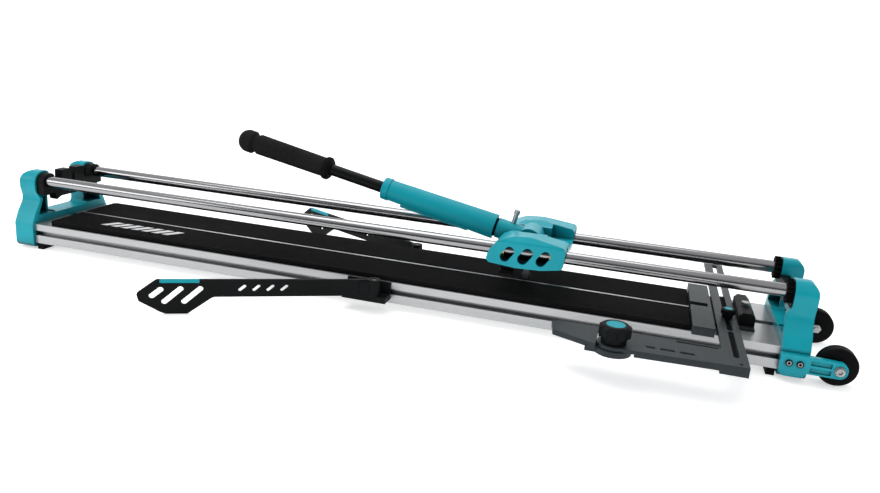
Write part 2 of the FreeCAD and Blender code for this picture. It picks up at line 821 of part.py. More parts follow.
# ---------------------------------------------------------------- carriage
def build_carriage():
    half_section = [
        (bay_half, rail_z - 9), (wing_inner, rail_z - 19), (wing_inner + 2, rail_z - s.carriage_skirt),
        (wing_outer, rail_z - s.carriage_skirt), (wing_outer, rail_z + 19),
        (rail_y + 14, rail_z + s.carriage_crown), (rail_y - 14, rail_z + s.carriage_crown),
        (wing_root, rail_z + 22), (bay_half, rail_z + 22),
    ]
    sides = []
    for side in (1, -1):
        section = [(y * side, z) for y, z in half_section]
        sides.append(prism("carriage_side", "x", (carriage_left, carriage_right), section, rounds=[
            (6, [section[4]]), (8, [section[5]]), (7, [section[6], section[7]])]))
    tie_low = rail_z - 7
    tie = box("carriage_tie", (s.carriage_x + s.boss_dia / 2 + 5, carriage_right),
              (-bay_half, bay_half), (tie_low, rail_z + 9))
    x, z = s.carriage_x, rail_z
    side_view = [
        (carriage_left, z - 12.5), (carriage_left + 3, z + 0.5), (x - 41, z + 15.5),
        (x - 20, z + s.carriage_crown - 3), (x + 10, z + s.carriage_crown),
        (carriage_right, z + 19.5), (carriage_right - 3, z - 14.5), (x + 32, z - 20.5),
        (x - 7, z - s.carriage_skirt), (carriage_left + 4, z - 18.5),
    ]
    silhouette = prism("carriage_silhouette", "y", (-wing_outer - 2, wing_outer + 2), side_view, rounds=[
        (12, [side_view[2]]), (40, [side_view[3]]), (60, [side_view[4]]), (8, [side_view[5]]),
        (6, [side_view[6], side_view[9]]), (5, [side_view[0]])])
    solid = common("carriage_solid", fuse("carriage_block", sides + [tie]), silhouette)

    # valley between the two wings, behind the lever's boss
    tools = [
        box("carriage_valley", (x + s.boss_dia / 2 + 9, carriage_right + 1),
            (-wing_inner + 1, wing_inner - 1), (z + 3, z + 60)),
    ]
    tools += [
        rod("bearing_bore", "x", bearing_r + s.slip_gap, (carriage_left - 1, carriage_right + 1),
            y=y, z=rail_z)
        for y in (rail_y, -rail_y)
    ]
    pin_half = rail_y - rail_r - 9.7
    tools.append(rod("pivot_bore", "y", s.pivot_dia / 2 + s.slip_gap,
                     (-pin_half, pin_half), x=s.carriage_x, z=pivot_z))
    # slanted windows through each wing, with the rail behind them
    lean = 3.5
    for ys in ((-wing_outer - 1, -rail_y - 9), (rail_y + 9, wing_outer + 1)):
        for i, wide in enumerate((15, 16.5, 15)):
            centre = x - 22 + 28.5 * i
            start, end = (centre - lean, z - 6.5), (centre + lean, z + 3.5)
            tools.append(slot_core("wing_window", "y", ys, start, end, wide))
    node("carriage_body", cut("carriage", solid, tools))

    sleeves = []
    for y in (rail_y, -rail_y):
        for start in (carriage_left + s.bearing_inset,
                      carriage_right - s.bearing_inset - s.bearing_long):
            span = (start, start + s.bearing_long)
            sleeves.append(cut("bearing", rod("bearing_shell", "x", bearing_r, span, y=y, z=rail_z), [
                rod("bearing_core", "x", rail_r + s.running_gap, span, y=y, z=rail_z)]))
    node("rail_bearings", group("bearing_set", sleeves))
    node("lever_pivot_pin", rod("pivot_pin", "y", s.pivot_dia / 2,
                                (-pin_half + s.rest_gap, pin_half - s.rest_gap),
                                x=s.carriage_x, z=pivot_z))


# ---------------------------------------------------------------- lever
def turned_about(obj, axis, angle, x, y, z):
    """Wrap a piece built round the origin, turn it about one axis and move it to its pivot."""
    wrap = doc.addObject("Part::Compound", obj.Name + "_turned")
    wrap.Links = [obj]
    wrap.Placement = Placement(Vector(), Rotation(axis, sized(angle).number))
    bind(wrap, "Placement.Rotation.Angle", angle)
    return place(wrap, x, y, z)


def on_lever(obj):
    """Tilt a piece built along X about the pivot, so -X becomes the handle's direction."""
    return turned_about(obj, Vector(0, 1, 0), s.lever_tilt, s.carriage_x, 0, pivot_z)


def build_lever():
    tube_r = s.tube_dia / 2
    bolt_x = s.neck_end - 24
    neck = rod("lever_neck", "x", s.neck_dia / 2, (-s.neck_end, -14))
    tube_bore = rod("lever_socket_bore", "x", tube_r + s.running_gap,
                    (-s.neck_end - 1, -(s.boss_dia / 2 + 2)))
    bolt_bore = rod("lock_bolt_bore", "z", s.stud_dia / 2 + s.slip_gap,
                    (tube_r, s.neck_dia / 2 + 2), x=-bolt_x)
    neck_cut = on_lever(cut("neck_bored", neck, [tube_bore, bolt_bore]))
    boss_half = bay_half - s.rest_gap
    boss = rod("lever_boss", "y", s.boss_dia / 2, (-boss_half, boss_half), x=s.carriage_x, z=pivot_z)
    half = s.holder_square / 2
    lug_half = 14
    tail_low = score_z + 24
    tail = box("lever_tail", (s.carriage_x - half - 5, s.carriage_x + half + 5),
               (-lug_half, lug_half), (tail_low, pivot_z - 8))
    ear = box("lever_ear", (breaker_x - 8, s.carriage_x - half - 4),
              (-8, 8), (breaker_z - 7, breaker_z + 24))
    whole = fuse("lever_blank", [neck_cut, boss, tail, ear])
    tools = [
        rod("lever_pivot_bore", "y", s.pivot_dia / 2 + s.running_gap, (-boss_half - 1, boss_half + 1),
            x=s.carriage_x, z=pivot_z),
        box("holder_socket", (s.carriage_x - half - s.slip_gap, s.carriage_x + half + s.slip_gap),
            (-half - s.slip_gap, half + s.slip_gap), (tail_low - 1, tail_low + 20)),
        rod("holder_screw_bore", "y", s.screw_dia / 2 + s.slip_gap, (-lug_half - 1, -half),
            x=s.carriage_x, z=tail_low + 8),
        rod("breaker_pin_bore", "y", s.breaker_pin / 2 + s.running_gap, (-9, 9),
            x=breaker_x, z=breaker_z),
    ]
    node("lever_socket", cut("lever_body", whole, tools))

    tube = on_lever(rod("tube_bar", "x", tube_r, (-(s.grip_end - 24), -(s.boss_dia / 2 + 4))))
    node("handle_tube", tube)
    bolt = fuse("lock_bolt", [
        rod("lock_bolt_shank", "z", s.stud_dia / 2, (tube_r + s.slip_gap, 36), x=-bolt_x),
        rod("lock_bolt_head", "z", s.stud_dia / 2 + 1, (33, 39), x=-bolt_x),
    ])
    node("handle_lock_bolt", on_lever(bolt))
    seal = cut("socket_seal", rod("seal_ring", "x", s.neck_dia / 2 - 1.5,
                                  (-s.sleeve_start + s.slip_gap, -s.neck_end - s.slip_gap)), [
        rod("seal_bore", "x", tube_r + s.running_gap, (-s.sleeve_start, -s.neck_end))])
    node("socket_seal_ring", on_lever(seal))

    bore = tube_r + s.running_gap
    wide = s.sleeve_dia / 2
    lip = s.sleeve_end - 12
    sleeve = turned("sleeve_body", "x", [
        (-s.sleeve_start, bore), (-s.sleeve_start, wide), (-lip, wide - 3),
        (-lip, wide - 1.5), (-s.sleeve_end, wide - 2), (-s.sleeve_end, bore)],
        rounds=[(1.2, [(-s.sleeve_end, wide - 2)])])
    rib = box("sleeve_rib", (-s.sleeve_end + 36, -s.sleeve_start - 44), (-1.6, 1.6),
              (-wide - 2, -wide + 6))
    node("handle_sleeve", on_lever(fuse("sleeve_ribbed", [sleeve, rib])))

    ball = s.ball_dia / 2
    grip = s.grip_dia / 2
    shoulder = s.grip_end - 34
    node("handle_grip", on_lever(turned("grip_body", "x", [
        (-s.grip_start, bore), (-s.grip_start, grip), (-shoulder + 5, grip + 1),
        (-shoulder + 1, grip - 1.5), (-shoulder - 2, grip - 1.5), (-shoulder - 7, ball),
        (-s.grip_end, ball), (-s.grip_end, 0),
        (-s.grip_end + 23, 0), (-s.grip_end + 23, bore)],
        rounds=[(ball - 2, [(-s.grip_end, ball)])])))
    collar = s.grip_start - s.slip_gap
    node("grip_collar", on_lever(turned("collar_body", "x", [
        (-collar + 13, bore), (-collar + 13, ball - 4), (-collar + 9, ball),
        (-collar + 3, ball), (-collar, grip + 1), (-collar, bore)])))


def build_scoring():
    half = s.holder_square / 2
    wheel_r_score = s.score_dia / 2
    tail_low = score_z + 24
    low = score_z - wheel_r_score / 2
    shank = box("holder_bar", (s.carriage_x - half, s.carriage_x + half), (-half, half),
                (low, tail_low + 19))
    fork = s.score_wide / 2 + s.rest_gap
    holder = cut("holder_fork", shank, [
        box("fork_gap", (s.carriage_x - half - 1, s.carriage_x + half + 1), (-fork, fork),
            (low - 1, score_z + wheel_r_score + 2)),
        rod("fork_bore", "y", s.score_pin / 2 + s.slip_gap, (-half - 1, half + 1),
            x=s.carriage_x, z=score_z),
    ])
    node("wheel_holder", holder)
    screw = fuse("holder_bolt", [
        rod("holder_bolt_shank", "y", s.screw_dia / 2, (-16, -half - s.slip_gap / 2),
            x=s.carriage_x, z=tail_low + 8),
        rod("holder_bolt_head", "y", s.screw_dia * 0.9, (-20, -14.2), x=s.carriage_x, z=tail_low + 8),
    ])
    node("holder_screw", screw)
    bore = s.score_pin / 2 + s.running_gap
    edge = s.score_wide / 2
    disc = turned("scoring_disc", "y", [
        (-edge, bore), (-edge, wheel_r_score - 3), (-0.25, wheel_r_score),
        (0.25, wheel_r_score), (edge, wheel_r_score - 3), (edge, bore)])
    node("scoring_wheel", place(disc, s.carriage_x, 0, score_z))
    node("scoring_wheel_pin", rod("score_pin_rod", "y", s.score_pin / 2, (-half, half),
                                  x=s.carriage_x, z=score_z))

    ear_half = 8 + s.rest_gap
    outer = s.breaker_half
    base_low = pad_top + 13.5
    base_high = base_low + 6
    wing_end = base_low - 0.01
    foot_section = [
        (ear_half, base_high + 0.5), (ear_half, breaker_z + 7), (ear_half + 4, breaker_z + 7),
        (ear_half + 4, base_high), (outer, base_high - 1), (outer, wing_end), (6, wing_end),
        (4, base_low + 2.5),
    ]
    hub = s.breaker_pin / 2 + s.slip_gap
    clear = prism("breaker_section", "x", (breaker_x - 12, breaker_x + 12), both_sides(foot_section))
    sides = prism("breaker_side", "y", (-outer - 1, outer + 1), [
        (breaker_x - 12, wing_end - 1), (breaker_x + 12, wing_end - 1), (breaker_x + 12, base_high + 1),
        (breaker_x + 7, breaker_z + 8), (breaker_x - 7, breaker_z + 8), (breaker_x - 12, base_high + 1)],
        circles=[(breaker_x, breaker_z, hub)])
    node("breaker_foot", common("breaker", clear, sides))
    node("breaker_pin", rod("breaker_rod", "y", s.breaker_pin / 2, (-ear_half - 4, ear_half + 4),
                            x=breaker_x, z=breaker_z))


# ---------------------------------------------------------------- folding side arms
def build_side_arms():
    far = s.arm_length
    low = arm_top - s.arm_root
    paddle = [
        (0, low), (0, arm_top), (-(far - 29), arm_top), (-far, low + 5), (-(far - 3), low - 7),
        (-(far - 34), s.paddle_gap + 3), (-(far - 42), s.paddle_gap), (-(far - 74), s.paddle_gap),
        (-(far - 112), low - 1),
    ]
    slots = [
        ((-(far - 22), low + 0.5), (-(far - 35), low + 11), 9),
        ((-(far - 40), low - 9), (-(far - 64), low + 12), 9),
        ((-(far - 69), low - 9), (-(far - 93), low + 12), 9),
    ]
    slots += [
        ((-(far - 152 - 21.4 * i), low + 10), (-(far - 159 - 21.4 * i), low + 16), 5.5)
        for i in range(4)
    ]
    # the soft strip is let into the top edge above the open paddle
    strip = (-(far - 34), -(far - 92))
    strip_low = arm_top - 5
    for name, side in (("front", -1), ("rear", 1)):
        half = s.arm_thick / 2
        blade = prism(name + "_arm_blade", "y", (-half, half), paddle, slots=slots, rounds=[
            (4, [paddle[3], paddle[4]]), (10, [paddle[2]]), (6, [paddle[7]]), (14, [paddle[8]])])
        barrel = rod(name + "_arm_barrel", "z", s.hinge_dia / 2, (low, arm_top))
        web = box(name + "_arm_web", (-s.hinge_dia / 2 - 14, -s.hinge_dia / 2 + 2),
                  (-half - 2, half + 2), (low, arm_top - 2))
        arm = cut(name + "_arm", fuse(name + "_arm_blank", [blade, barrel, web]), [
            rod(name + "_arm_bore", "z", s.hinge_pin / 2 + s.running_gap, (low - 1, arm_top + 1)),
            box(name + "_arm_seat", (strip[0] - s.slip_gap, strip[1] + s.slip_gap),
                (-half - 1, half + 1), (strip_low, arm_top + 1)),
        ])
        pad = box(name + "_arm_strip", strip, (-half, half), (strip_low, arm_top))
        for label, obj in ((name + "_side_arm", arm), (name + "_arm_pad", pad)):
            node(label, turned_about(obj, Vector(0, 0, 1), s.arm_angle * -side,
                                     s.arm_x, hinge_y * side, 0))

        # bracket: plate on the bed's side, tongue in its slot, lug under the barrel
        left, right = s.arm_x - 53, s.arm_x + 22
        face = bed_half + s.slip_gap

        def outward(low_y, high_y):
            return (low_y, high_y) if side > 0 else (-high_y, -low_y)

        plate = box(name + "_hinge_plate", (left, right), outward(face, face + s.hinge_plate),
                    (lug_low, bed_top - 1))
        lug = box(name + "_hinge_lug", (left, right),
                  outward(face, hinge_y + s.hinge_pin / 2 + 2), (lug_low, lug_top))
        tongue = box(name + "_hinge_tongue", (left + 6, right - 6),
                     outward(bed_half - s.slot_deep + 1, face + 1), (slot_low + 0.3, slot_top - 0.3))
        bracket = cut(name + "_hinge_drilled", fuse(name + "_hinge_blank", [plate, lug, tongue]), [
            rod(name + "_hinge_bore", "z", s.hinge_pin / 2 + s.running_gap, (lug_low - 1, lug_top + 1),
                x=s.arm_x, y=hinge_y * side)])
        node(name + "_hinge_bracket", bracket)
        node(name + "_hinge_pin", rod(name + "_pin_rod", "z", s.hinge_pin / 2,
                                      (lug_low, arm_top - 1), x=s.arm_x, y=hinge_y * side))


# ---------------------------------------------------------------- fence and square
def build_fence():
    front, rear = -s.fence_front, s.fence_rear
    notch = s.fence_notch / 2
    deep = s.fence_wide - 5
    plate = prism("fence_bar", "z", (fence_low, fence_top), [
        (s.fence_x, front), (fence_right, front), (fence_right, rear), (s.fence_x, rear),
        (s.fence_x, notch), (s.fence_x + deep, notch), (s.fence_x + deep, -notch), (s.fence_x, -notch)])
    web = box("fence_web_plate", (fence_right - 1, block_right), (-54, 58), (fence_low, web_top))
    tongue = box("fence_tongue", (bar_x + 4, bar_right - 4), (-(bed_half - 3), bed_half - 3),
                 (fence_low, web_top))
    bolt_x = (block_x + block_right) / 2
    tools = [
        rod("fence_bolt_bore", "z", s.stud_dia / 2 + s.slip_gap, (bed_top, web_top + 1), x=bolt_x),
        rod("bar_stud_bore", "z", s.stud_dia / 2 - 0.5 + s.running_gap, (fence_low - 1, web_top + 1),
            x=slot_x, y=-s.small_knob_y),
    ]
    node("fence_plate", cut("fence", fuse("fence_blank", [plate, web, tongue]), tools))

    high = web_top + s.slip_gap
    crown = high + 20
    block = prism("clamp_section", "y", (-43, 55), [
        (block_x, high), (block_right, high), (block_right, crown - 6), (block_right - 6, crown),
        (block_x + 5, crown), (block_x, crown - 5)])
    node("fence_clamp_block", cut("clamp_block", block, [
        rod("clamp_bore", "z", s.stud_dia / 2 + s.slip_gap, (high - 1, crown + 1), x=bolt_x)]))
    tee_low = channel_floor + s.slip_gap
    tee_high = bed_top - 0.4
    tee = cut("tee_nut", box("tee_block", (bolt_x - 11, bolt_x + 11),
                             (-channel_half + s.slip_gap, channel_half - s.slip_gap),
                             (tee_low, tee_high)), [
        rod("tee_bore", "z", s.stud_dia / 2 + s.running_gap, (tee_low - 1, tee_high + 1), x=bolt_x)])
    node("fence_tee_nut", tee)
    node("fence_clamp_bolt", fuse("clamp_bolt", [
        rod("clamp_bolt_shank", "z", s.stud_dia / 2, (tee_low + 0.5, crown + 1), x=bolt_x),
        rod("clamp_bolt_head", "z", s.stud_dia * 0.8, (crown, crown + 5), x=bolt_x),
    ]))


def build_square():
    front = -s.square_front
    rear = -square_rear
    hub_x, hub_y = s.square_hub_x, -s.square_hub_y
    hub_r = s.hub_dia / 2
    arm_left = hub_x - 22
    outline = [
        (bar_x, rear), (bar_x, s.bar_rear), (bar_right, s.bar_rear), (bar_right, front),
        (hub_x, front - 10), (hub_x, hub_y + hub_r), (arm_left, hub_y + hub_r), (arm_left, rear),
    ]
    slots = [
        ((slot_x, -s.small_knob_y - 56), (slot_x, s.bar_rear - 24), s.bar_slot),
        ((hub_x + 46, front + 15), (hub_x + 53, front + 15), 7),
        ((hub_x + 65, front + 15), (hub_x + 79, front + 15), 7),
        ((hub_x + 91, front + 15), (hub_x + 105, front + 15), 7),
        ((hub_x + 86, rear - 6), (bar_x - 10, rear - 6), 5),
    ]
    plate = prism("square_plate", "z", (bar_low, bar_top), outline, slots=slots,
                  circles=[(slot_x + 4, front + 9, 2.5)])
    hub = rod("square_hub", "z", hub_r - 3, (bar_low, bar_top), x=hub_x, y=hub_y)
    rule = box("square_rule", (bar_x - 3, bar_x + 2), (rear, s.bar_rear), (bar_low, bar_top))
    heel = box("square_heel", (bar_x - 8, bar_right), (front, front + 14), (bar_low - 9, bar_low + 1))
    skirt = prism("square_skirt", "z", (bar_low - 4, bar_low + 1), [
        (bar_right, front), (bar_right, front + 4), (hub_x + hub_r + 3, front - 4),
        (hub_x + hub_r + 3, front - 8.3)])
    tools = [
        rod("hub_bore", "z", s.stud_dia / 2 + s.slip_gap, (bar_low - 1, bar_top + 1), x=hub_x, y=hub_y),
        slot_core("bar_groove", "z", (bar_low + s.groove_floor, bar_top + 1), (slot_x, rear - 26),
                  (slot_x, -s.small_knob_y - 68), s.bar_slot)]
    node("sliding_square", cut("square", fuse("square_blank", [plate, hub, rule, heel, skirt]), tools))

    # angle finger: round hub under the plate, tapered blade flush with the plate's top
    under_top = bar_low - s.rest_gap
    under_low = under_top - 8
    tip = hub_x - s.finger_reach
    blade_right = hub_x - hub_r + 2.5
    blade = prism("finger_blade", "z", (bar_low - 2.5, bar_top), [
        (tip, rear - 4), (tip + 6, hub_y + 10), (blade_right, hub_y - 17), (blade_right, rear + 2),
        (tip + 3, rear + 1)])
    strap = box("finger_strap", (blade_right - 14, hub_x), (hub_y - 13, hub_y + 14),
                (under_low, under_top))
    disc = rod("finger_disc", "z", hub_r, (under_low, under_top), x=hub_x, y=hub_y)
    node("angle_finger", cut("finger", fuse("finger_blank", [blade, strap, disc]), [
        rod("finger_bore", "z", s.stud_dia / 2 + s.running_gap, (under_low - 1, under_top + 1),
            x=hub_x, y=hub_y)]))

    build_knob("finger_knob", hub_x, hub_y, bar_top + s.rest_gap, s.knob_dia, s.knob_tall, 10,
               stud_low=under_low - 8, stud_r=s.stud_dia / 2)
    nut_high = under_low - s.rest_gap
    node("finger_stud_nut", hex_nut("finger_nut", "z", (nut_high - 6.5, nut_high), hub_x, hub_y,
                                    s.stud_dia))
    build_knob("bar_knob", slot_x, -s.small_knob_y, bar_top + s.rest_gap, s.small_knob,
               s.small_knob * 0.7, 8, stud_low=fence_low + 0.2, stud_r=s.stud_dia / 2 - 0.5)


def build_knob(name, x, y, low, dia, tall, lobes, stud_low, stud_r):
    """Scalloped hand knob with a coloured cap let into its top, on a steel stud."""
    outer = dia / 2
    top = low + tall
    cap_r = outer * 0.58
    body = place(turned(name + "_turning", "z", [
        (0, 0), (0, outer * 0.78), (tall * 0.35, outer * 0.8), (tall * 0.42, outer),
        (tall * 0.88, outer), (tall, outer * 0.8), (tall, 0)]), x, y, low)
    tools = [
        rod(name + "_cap_seat", "z", cap_r + s.slip_gap / 2, (top - 2, top + 1), x=x, y=y),
        rod(name + "_stud_seat", "z", stud_r + s.slip_gap / 2, (low - 1, low + tall * 0.6), x=x, y=y),
    ]
    flute = outer * 0.22
    for i in range(lobes):
        turn = 2 * math.pi * i / lobes
        reach = outer + flute * 0.55
        tools.append(rod(name + "_flute", "z", flute, (low + tall * 0.36, top + 1),
                         x=x + reach * math.cos(turn), y=y + reach * math.sin(turn)))
    node(name, cut(name + "_body", body, tools))
    node(name + "_cap", rod(name + "_cap_disc", "z", cap_r, (top - 2, top), x=x, y=y))
    node(name + "_stud", rod(name + "_stud_rod", "z", stud_r, (stud_low, low + tall * 0.6 - 0.3),
                             x=x, y=y))


# ---------------------------------------------------------------- assembly
build_bed()
build_feet()
build_end_frames()
build_rail_holders()
build_rails()
build_frame_screws()
build_bumpers()
build_wheel_brackets()
build_wheels()
build_carriage()
build_lever()
build_scoring()
build_side_arms()
build_fence()
build_square()

doc.recompute()

# ---------------------------------------------------------------- checks and files
for obj in doc.Objects:
    if "Invalid" in obj.State or "Error" in obj.State:
        raise RuntimeError(f"{obj.Name} failed: {obj.State}")
for obj in nodes:
    if obj.Shape.isNull() or not obj.Shape.isValid() or not obj.Shape.Solids:
        raise RuntimeError(f"{obj.Label} has no valid solid")

for obj in nodes:
    obj.Shape.exportStep(f"parts/{obj.Label}.step")
    print(f"{obj.Label}: {len(obj.Shape.Solids)} solid, {obj.Shape.Volume / 1000:.1f} cm3")
print(len(nodes), "nodes")
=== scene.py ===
import json
import math

import bmesh
import bpy
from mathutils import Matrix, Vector


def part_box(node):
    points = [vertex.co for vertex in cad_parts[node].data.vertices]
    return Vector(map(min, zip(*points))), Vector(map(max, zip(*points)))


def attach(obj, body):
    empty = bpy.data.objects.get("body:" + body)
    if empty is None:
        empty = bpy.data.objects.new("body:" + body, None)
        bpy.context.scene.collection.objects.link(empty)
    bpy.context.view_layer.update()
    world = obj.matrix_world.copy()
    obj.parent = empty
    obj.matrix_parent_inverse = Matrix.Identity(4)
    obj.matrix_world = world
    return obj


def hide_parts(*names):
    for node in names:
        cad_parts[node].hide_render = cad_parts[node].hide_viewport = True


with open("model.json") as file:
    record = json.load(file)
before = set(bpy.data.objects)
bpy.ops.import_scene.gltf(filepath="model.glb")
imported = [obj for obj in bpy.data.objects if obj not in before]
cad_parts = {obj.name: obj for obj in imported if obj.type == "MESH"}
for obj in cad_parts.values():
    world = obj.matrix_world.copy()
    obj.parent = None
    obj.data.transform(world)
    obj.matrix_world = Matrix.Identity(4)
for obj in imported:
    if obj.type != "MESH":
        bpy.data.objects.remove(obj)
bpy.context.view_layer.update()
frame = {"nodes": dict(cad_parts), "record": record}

# manual tile cutter: X runs along the rails, Y to the rear, metres
nodes = frame["nodes"]
scene = bpy.context.scene
print("frame loaded:", len(nodes), "nodes")


class Shade:
    # thin wrapper round one material's node tree
    def __init__(self, name):
        self.material = bpy.data.materials.new(name)
        self.material.use_nodes = True
        self.tree = self.material.node_tree
        self.tree.nodes.clear()
        self.surface = self.tree.nodes.new("ShaderNodeBsdfPrincipled")
        output = self.tree.nodes.new("ShaderNodeOutputMaterial")
        self.join(self.surface.outputs["BSDF"], output.inputs["Surface"])
        self.coord = self.tree.nodes.new("ShaderNodeTexCoord").outputs["Object"]

    def join(self, source, target):
        self.tree.links.new(source, target)

    def fixed(self, **values):
        for key, value in values.items():
            self.surface.inputs[key.replace("_", " ")].default_value = value

    def node(self, kind, props=None, **sockets):
        made = self.tree.nodes.new("ShaderNode" + kind)
        for key, value in (props or {}).items():
            setattr(made, key, value)
        for key, value in sockets.items():
            byNumber = key[0] == "i" and key[1:].isdigit()
            socket = made.inputs[int(key[1:]) if byNumber else key.replace("_", " ")]
            if isinstance(value, bpy.types.NodeSocket):
                self.join(value, socket)
            else:
                socket.default_value = value
        return made

    def stretched(self, x, y, z):
        # object coordinates scaled per axis, for grain with a direction
        return self.node("Mapping", Vector=self.coord, Scale=(x, y, z)).outputs["Vector"]

    def noise(self, scale, detail=3.0, roughness=0.55, vector=None):
        return self.node("TexNoise", Vector=vector or self.coord, Scale=scale, Detail=detail,
                         Roughness=roughness).outputs["Fac"]

    def spread(self, value, low, high, fromLow=0.3, fromHigh=0.7):
        made = self.node("MapRange", Value=value, From_Min=fromLow, From_Max=fromHigh,
                         To_Min=low, To_Max=high)
        return made.outputs["Result"]

    def mixed(self, amount, first, second):
        return self.node("Mix", {"data_type": "RGBA"}, i0=amount, i6=first, i7=second).outputs[2]

    def times(self, a, b):
        return self.node("Math", {"operation": "MULTIPLY"}, i0=a, i1=b).outputs[0]

    def plus(self, a, b):
        return self.node("Math", {"operation": "ADD"}, i0=a, i1=b).outputs[0]

    def softEdges(self, radius):
        return self.node("Bevel", {"samples": 4}, Radius=radius).outputs["Normal"]

    def edgeMask(self, radius, low=0.02, high=0.25):
        # 1 on convex and concave edges, 0 on the flats
        rounded = self.softEdges(radius)
        flat = self.node("NewGeometry").outputs["Normal"]
        match = self.node("VectorMath", {"operation": "DOT_PRODUCT"}, i0=rounded, i1=flat).outputs["Value"]
        return self.spread(match, 1.0, 0.0, 1.0 - high, 1.0 - low)

    def paintedShadeMask(self, reach, low=0.12, high=0.55):
        # 0 deep in grooves and pockets, 1 in the open; the mask for painted shade in recesses
        made = self.node("AmbientOcclusion", {"samples": 6}, Distance=reach)
        return self.spread(made.outputs["AO"], 0.0, 1.0, low, high)

    def bump(self, height, strength, distance, normal=None):
        made = self.node("Bump", Height=height, Strength=strength, Distance=distance)
        if normal is not None:
            self.join(normal, made.inputs["Normal"])
        self.join(made.outputs["Normal"], self.surface.inputs["Normal"])

    def colour(self, value):
        self.join(value, self.surface.inputs["Base Color"])

    def rough(self, value):
        self.join(value, self.surface.inputs["Roughness"])


def tone(colour, factor):
    return (colour[0] * factor, colour[1] * factor, colour[2] * factor, 1.0)


# noise scales are per metre, edges and depths are metres, roughness is its lowest and highest value
enamel = {"colour": (0.0045, 0.345, 0.420), "worn": (0.12, 0.46, 0.52, 1.0), "roughness": (0.30, 0.42),
          "specular": 0.17, "coat": 0.10, "coatRoughness": 0.14, "drift": 14.0, "specks": 420.0,
          "speckTone": 0.55, "chips": 160.0, "peel": 900.0, "peelDepth": 0.00005, "edge": 0.0011,
          "wearEdge": 0.0012, "pocket": 0.040, "pocketTone": 0.13}


def castEnamel():
    # satin enamel over a casting: orange peel, slow colour drift, paler worn edges, painted shade in the
    # pockets
    shade = Shade("castEnamel")
    base = enamel["colour"]
    drift = shade.spread(shade.noise(enamel["drift"], 4.0), 0.0, 1.0)
    body = shade.mixed(drift, tone(base, 0.90), tone(base, 1.08))
    specks = shade.spread(shade.noise(enamel["specks"], 5.0, 0.7), 0.0, 1.0, 0.66, 0.72)
    chips = shade.spread(shade.noise(enamel["chips"], 6.0, 0.7), 0.0, 0.35, 0.50, 0.70)
    wear = shade.times(shade.edgeMask(enamel["wearEdge"]), chips)
    body = shade.mixed(shade.times(specks, 0.12), body, tone(base, enamel["speckTone"]))
    body = shade.mixed(wear, body, enamel["worn"])
    # painted shade: the teal goes near black deep in pockets and grooves, from ambient occlusion
    unshaded = shade.paintedShadeMask(enamel["pocket"], 0.22, 0.80)
    shade.colour(shade.mixed(unshaded, tone(base, enamel["pocketTone"]), body))
    shade.rough(shade.spread(shade.noise(60.0, 4.0), *enamel["roughness"]))
    shade.fixed(Specular_IOR_Level=enamel["specular"], Coat_Weight=enamel["coat"],
                Coat_Roughness=enamel["coatRoughness"])
    peel = shade.noise(enamel["peel"], 2.0)
    shade.bump(peel, 0.30, enamel["peelDepth"], shade.softEdges(enamel["edge"]))
    return shade.material


mouldedTeal = {"colour": (0.0040, 0.330, 0.405), "roughness": (0.34, 0.48), "specular": 0.17, "drift": 9.0,
               "scuffs": (70.0, 400.0, 400.0), "grain": 1500.0, "grainDepth": 0.00004, "edge": 0.0007}


def sleevePlastic():
    # moulded sleeve: satin, very fine spark-eroded grain
    shade = Shade("sleevePlastic")
    base = mouldedTeal["colour"]
    drift = shade.spread(shade.noise(mouldedTeal["drift"], 3.0), 0.0, 1.0)
    streaks = shade.noise(1.0, 5.0, 0.65, shade.stretched(*mouldedTeal["scuffs"]))
    scuffs = shade.spread(streaks, 0.0, 0.30, 0.58, 0.72)
    body = shade.mixed(drift, tone(base, 0.93), tone(base, 1.07))
    shade.colour(shade.mixed(scuffs, body, tone(base, 1.22)))
    shade.rough(shade.spread(shade.noise(240.0, 4.0), *mouldedTeal["roughness"]))
    shade.fixed(Specular_IOR_Level=mouldedTeal["specular"])
    grain = shade.noise(mouldedTeal["grain"], 3.0)
    shade.bump(grain, 0.35, mouldedTeal["grainDepth"], shade.softEdges(mouldedTeal["edge"]))
    return shade.material


blackMoulding = {"colour": (0.0045, 0.0052, 0.0055), "wornTone": 3.2, "roughness": (0.42, 0.56),
                 "specular": 0.085, "drift": 22.0, "grain": 1100.0, "grainDepth": 0.00005,
                 "edge": 0.0009, "wearEdge": 0.0010}


def mouldedBlack():
    # glass-filled black moulding with a leathery grain and greyed edges
    shade = Shade("mouldedBlack")
    base = blackMoulding["colour"]
    drift = shade.spread(shade.noise(blackMoulding["drift"], 4.0), 0.0, 1.0)
    body = shade.mixed(drift, tone(base, 0.8), tone(base, 1.25))
    wear = shade.times(shade.edgeMask(blackMoulding["wearEdge"]), 0.30)
    shade.colour(shade.mixed(wear, body, tone(base, blackMoulding["wornTone"])))
    shade.rough(shade.spread(shade.noise(300.0, 5.0), *blackMoulding["roughness"]))
    shade.fixed(Specular_IOR_Level=blackMoulding["specular"])
    cells = shade.node("TexVoronoi", {"feature": "F1"}, Vector=shade.coord, Scale=blackMoulding["grain"])
    grain = cells.outputs["Distance"]
    shade.bump(grain, 0.35, blackMoulding["grainDepth"], shade.softEdges(blackMoulding["edge"]))
    return shade.material


coatedGrey = {"colour": (0.022, 0.029, 0.032), "wornTone": 2.2, "roughness": (0.38, 0.52),
              "specular": 0.24, "metallic": 0.10, "drift": 30.0, "grain": 1300.0,
              "grainDepth": 0.00006, "edge": 0.0008, "wearEdge": 0.0009}


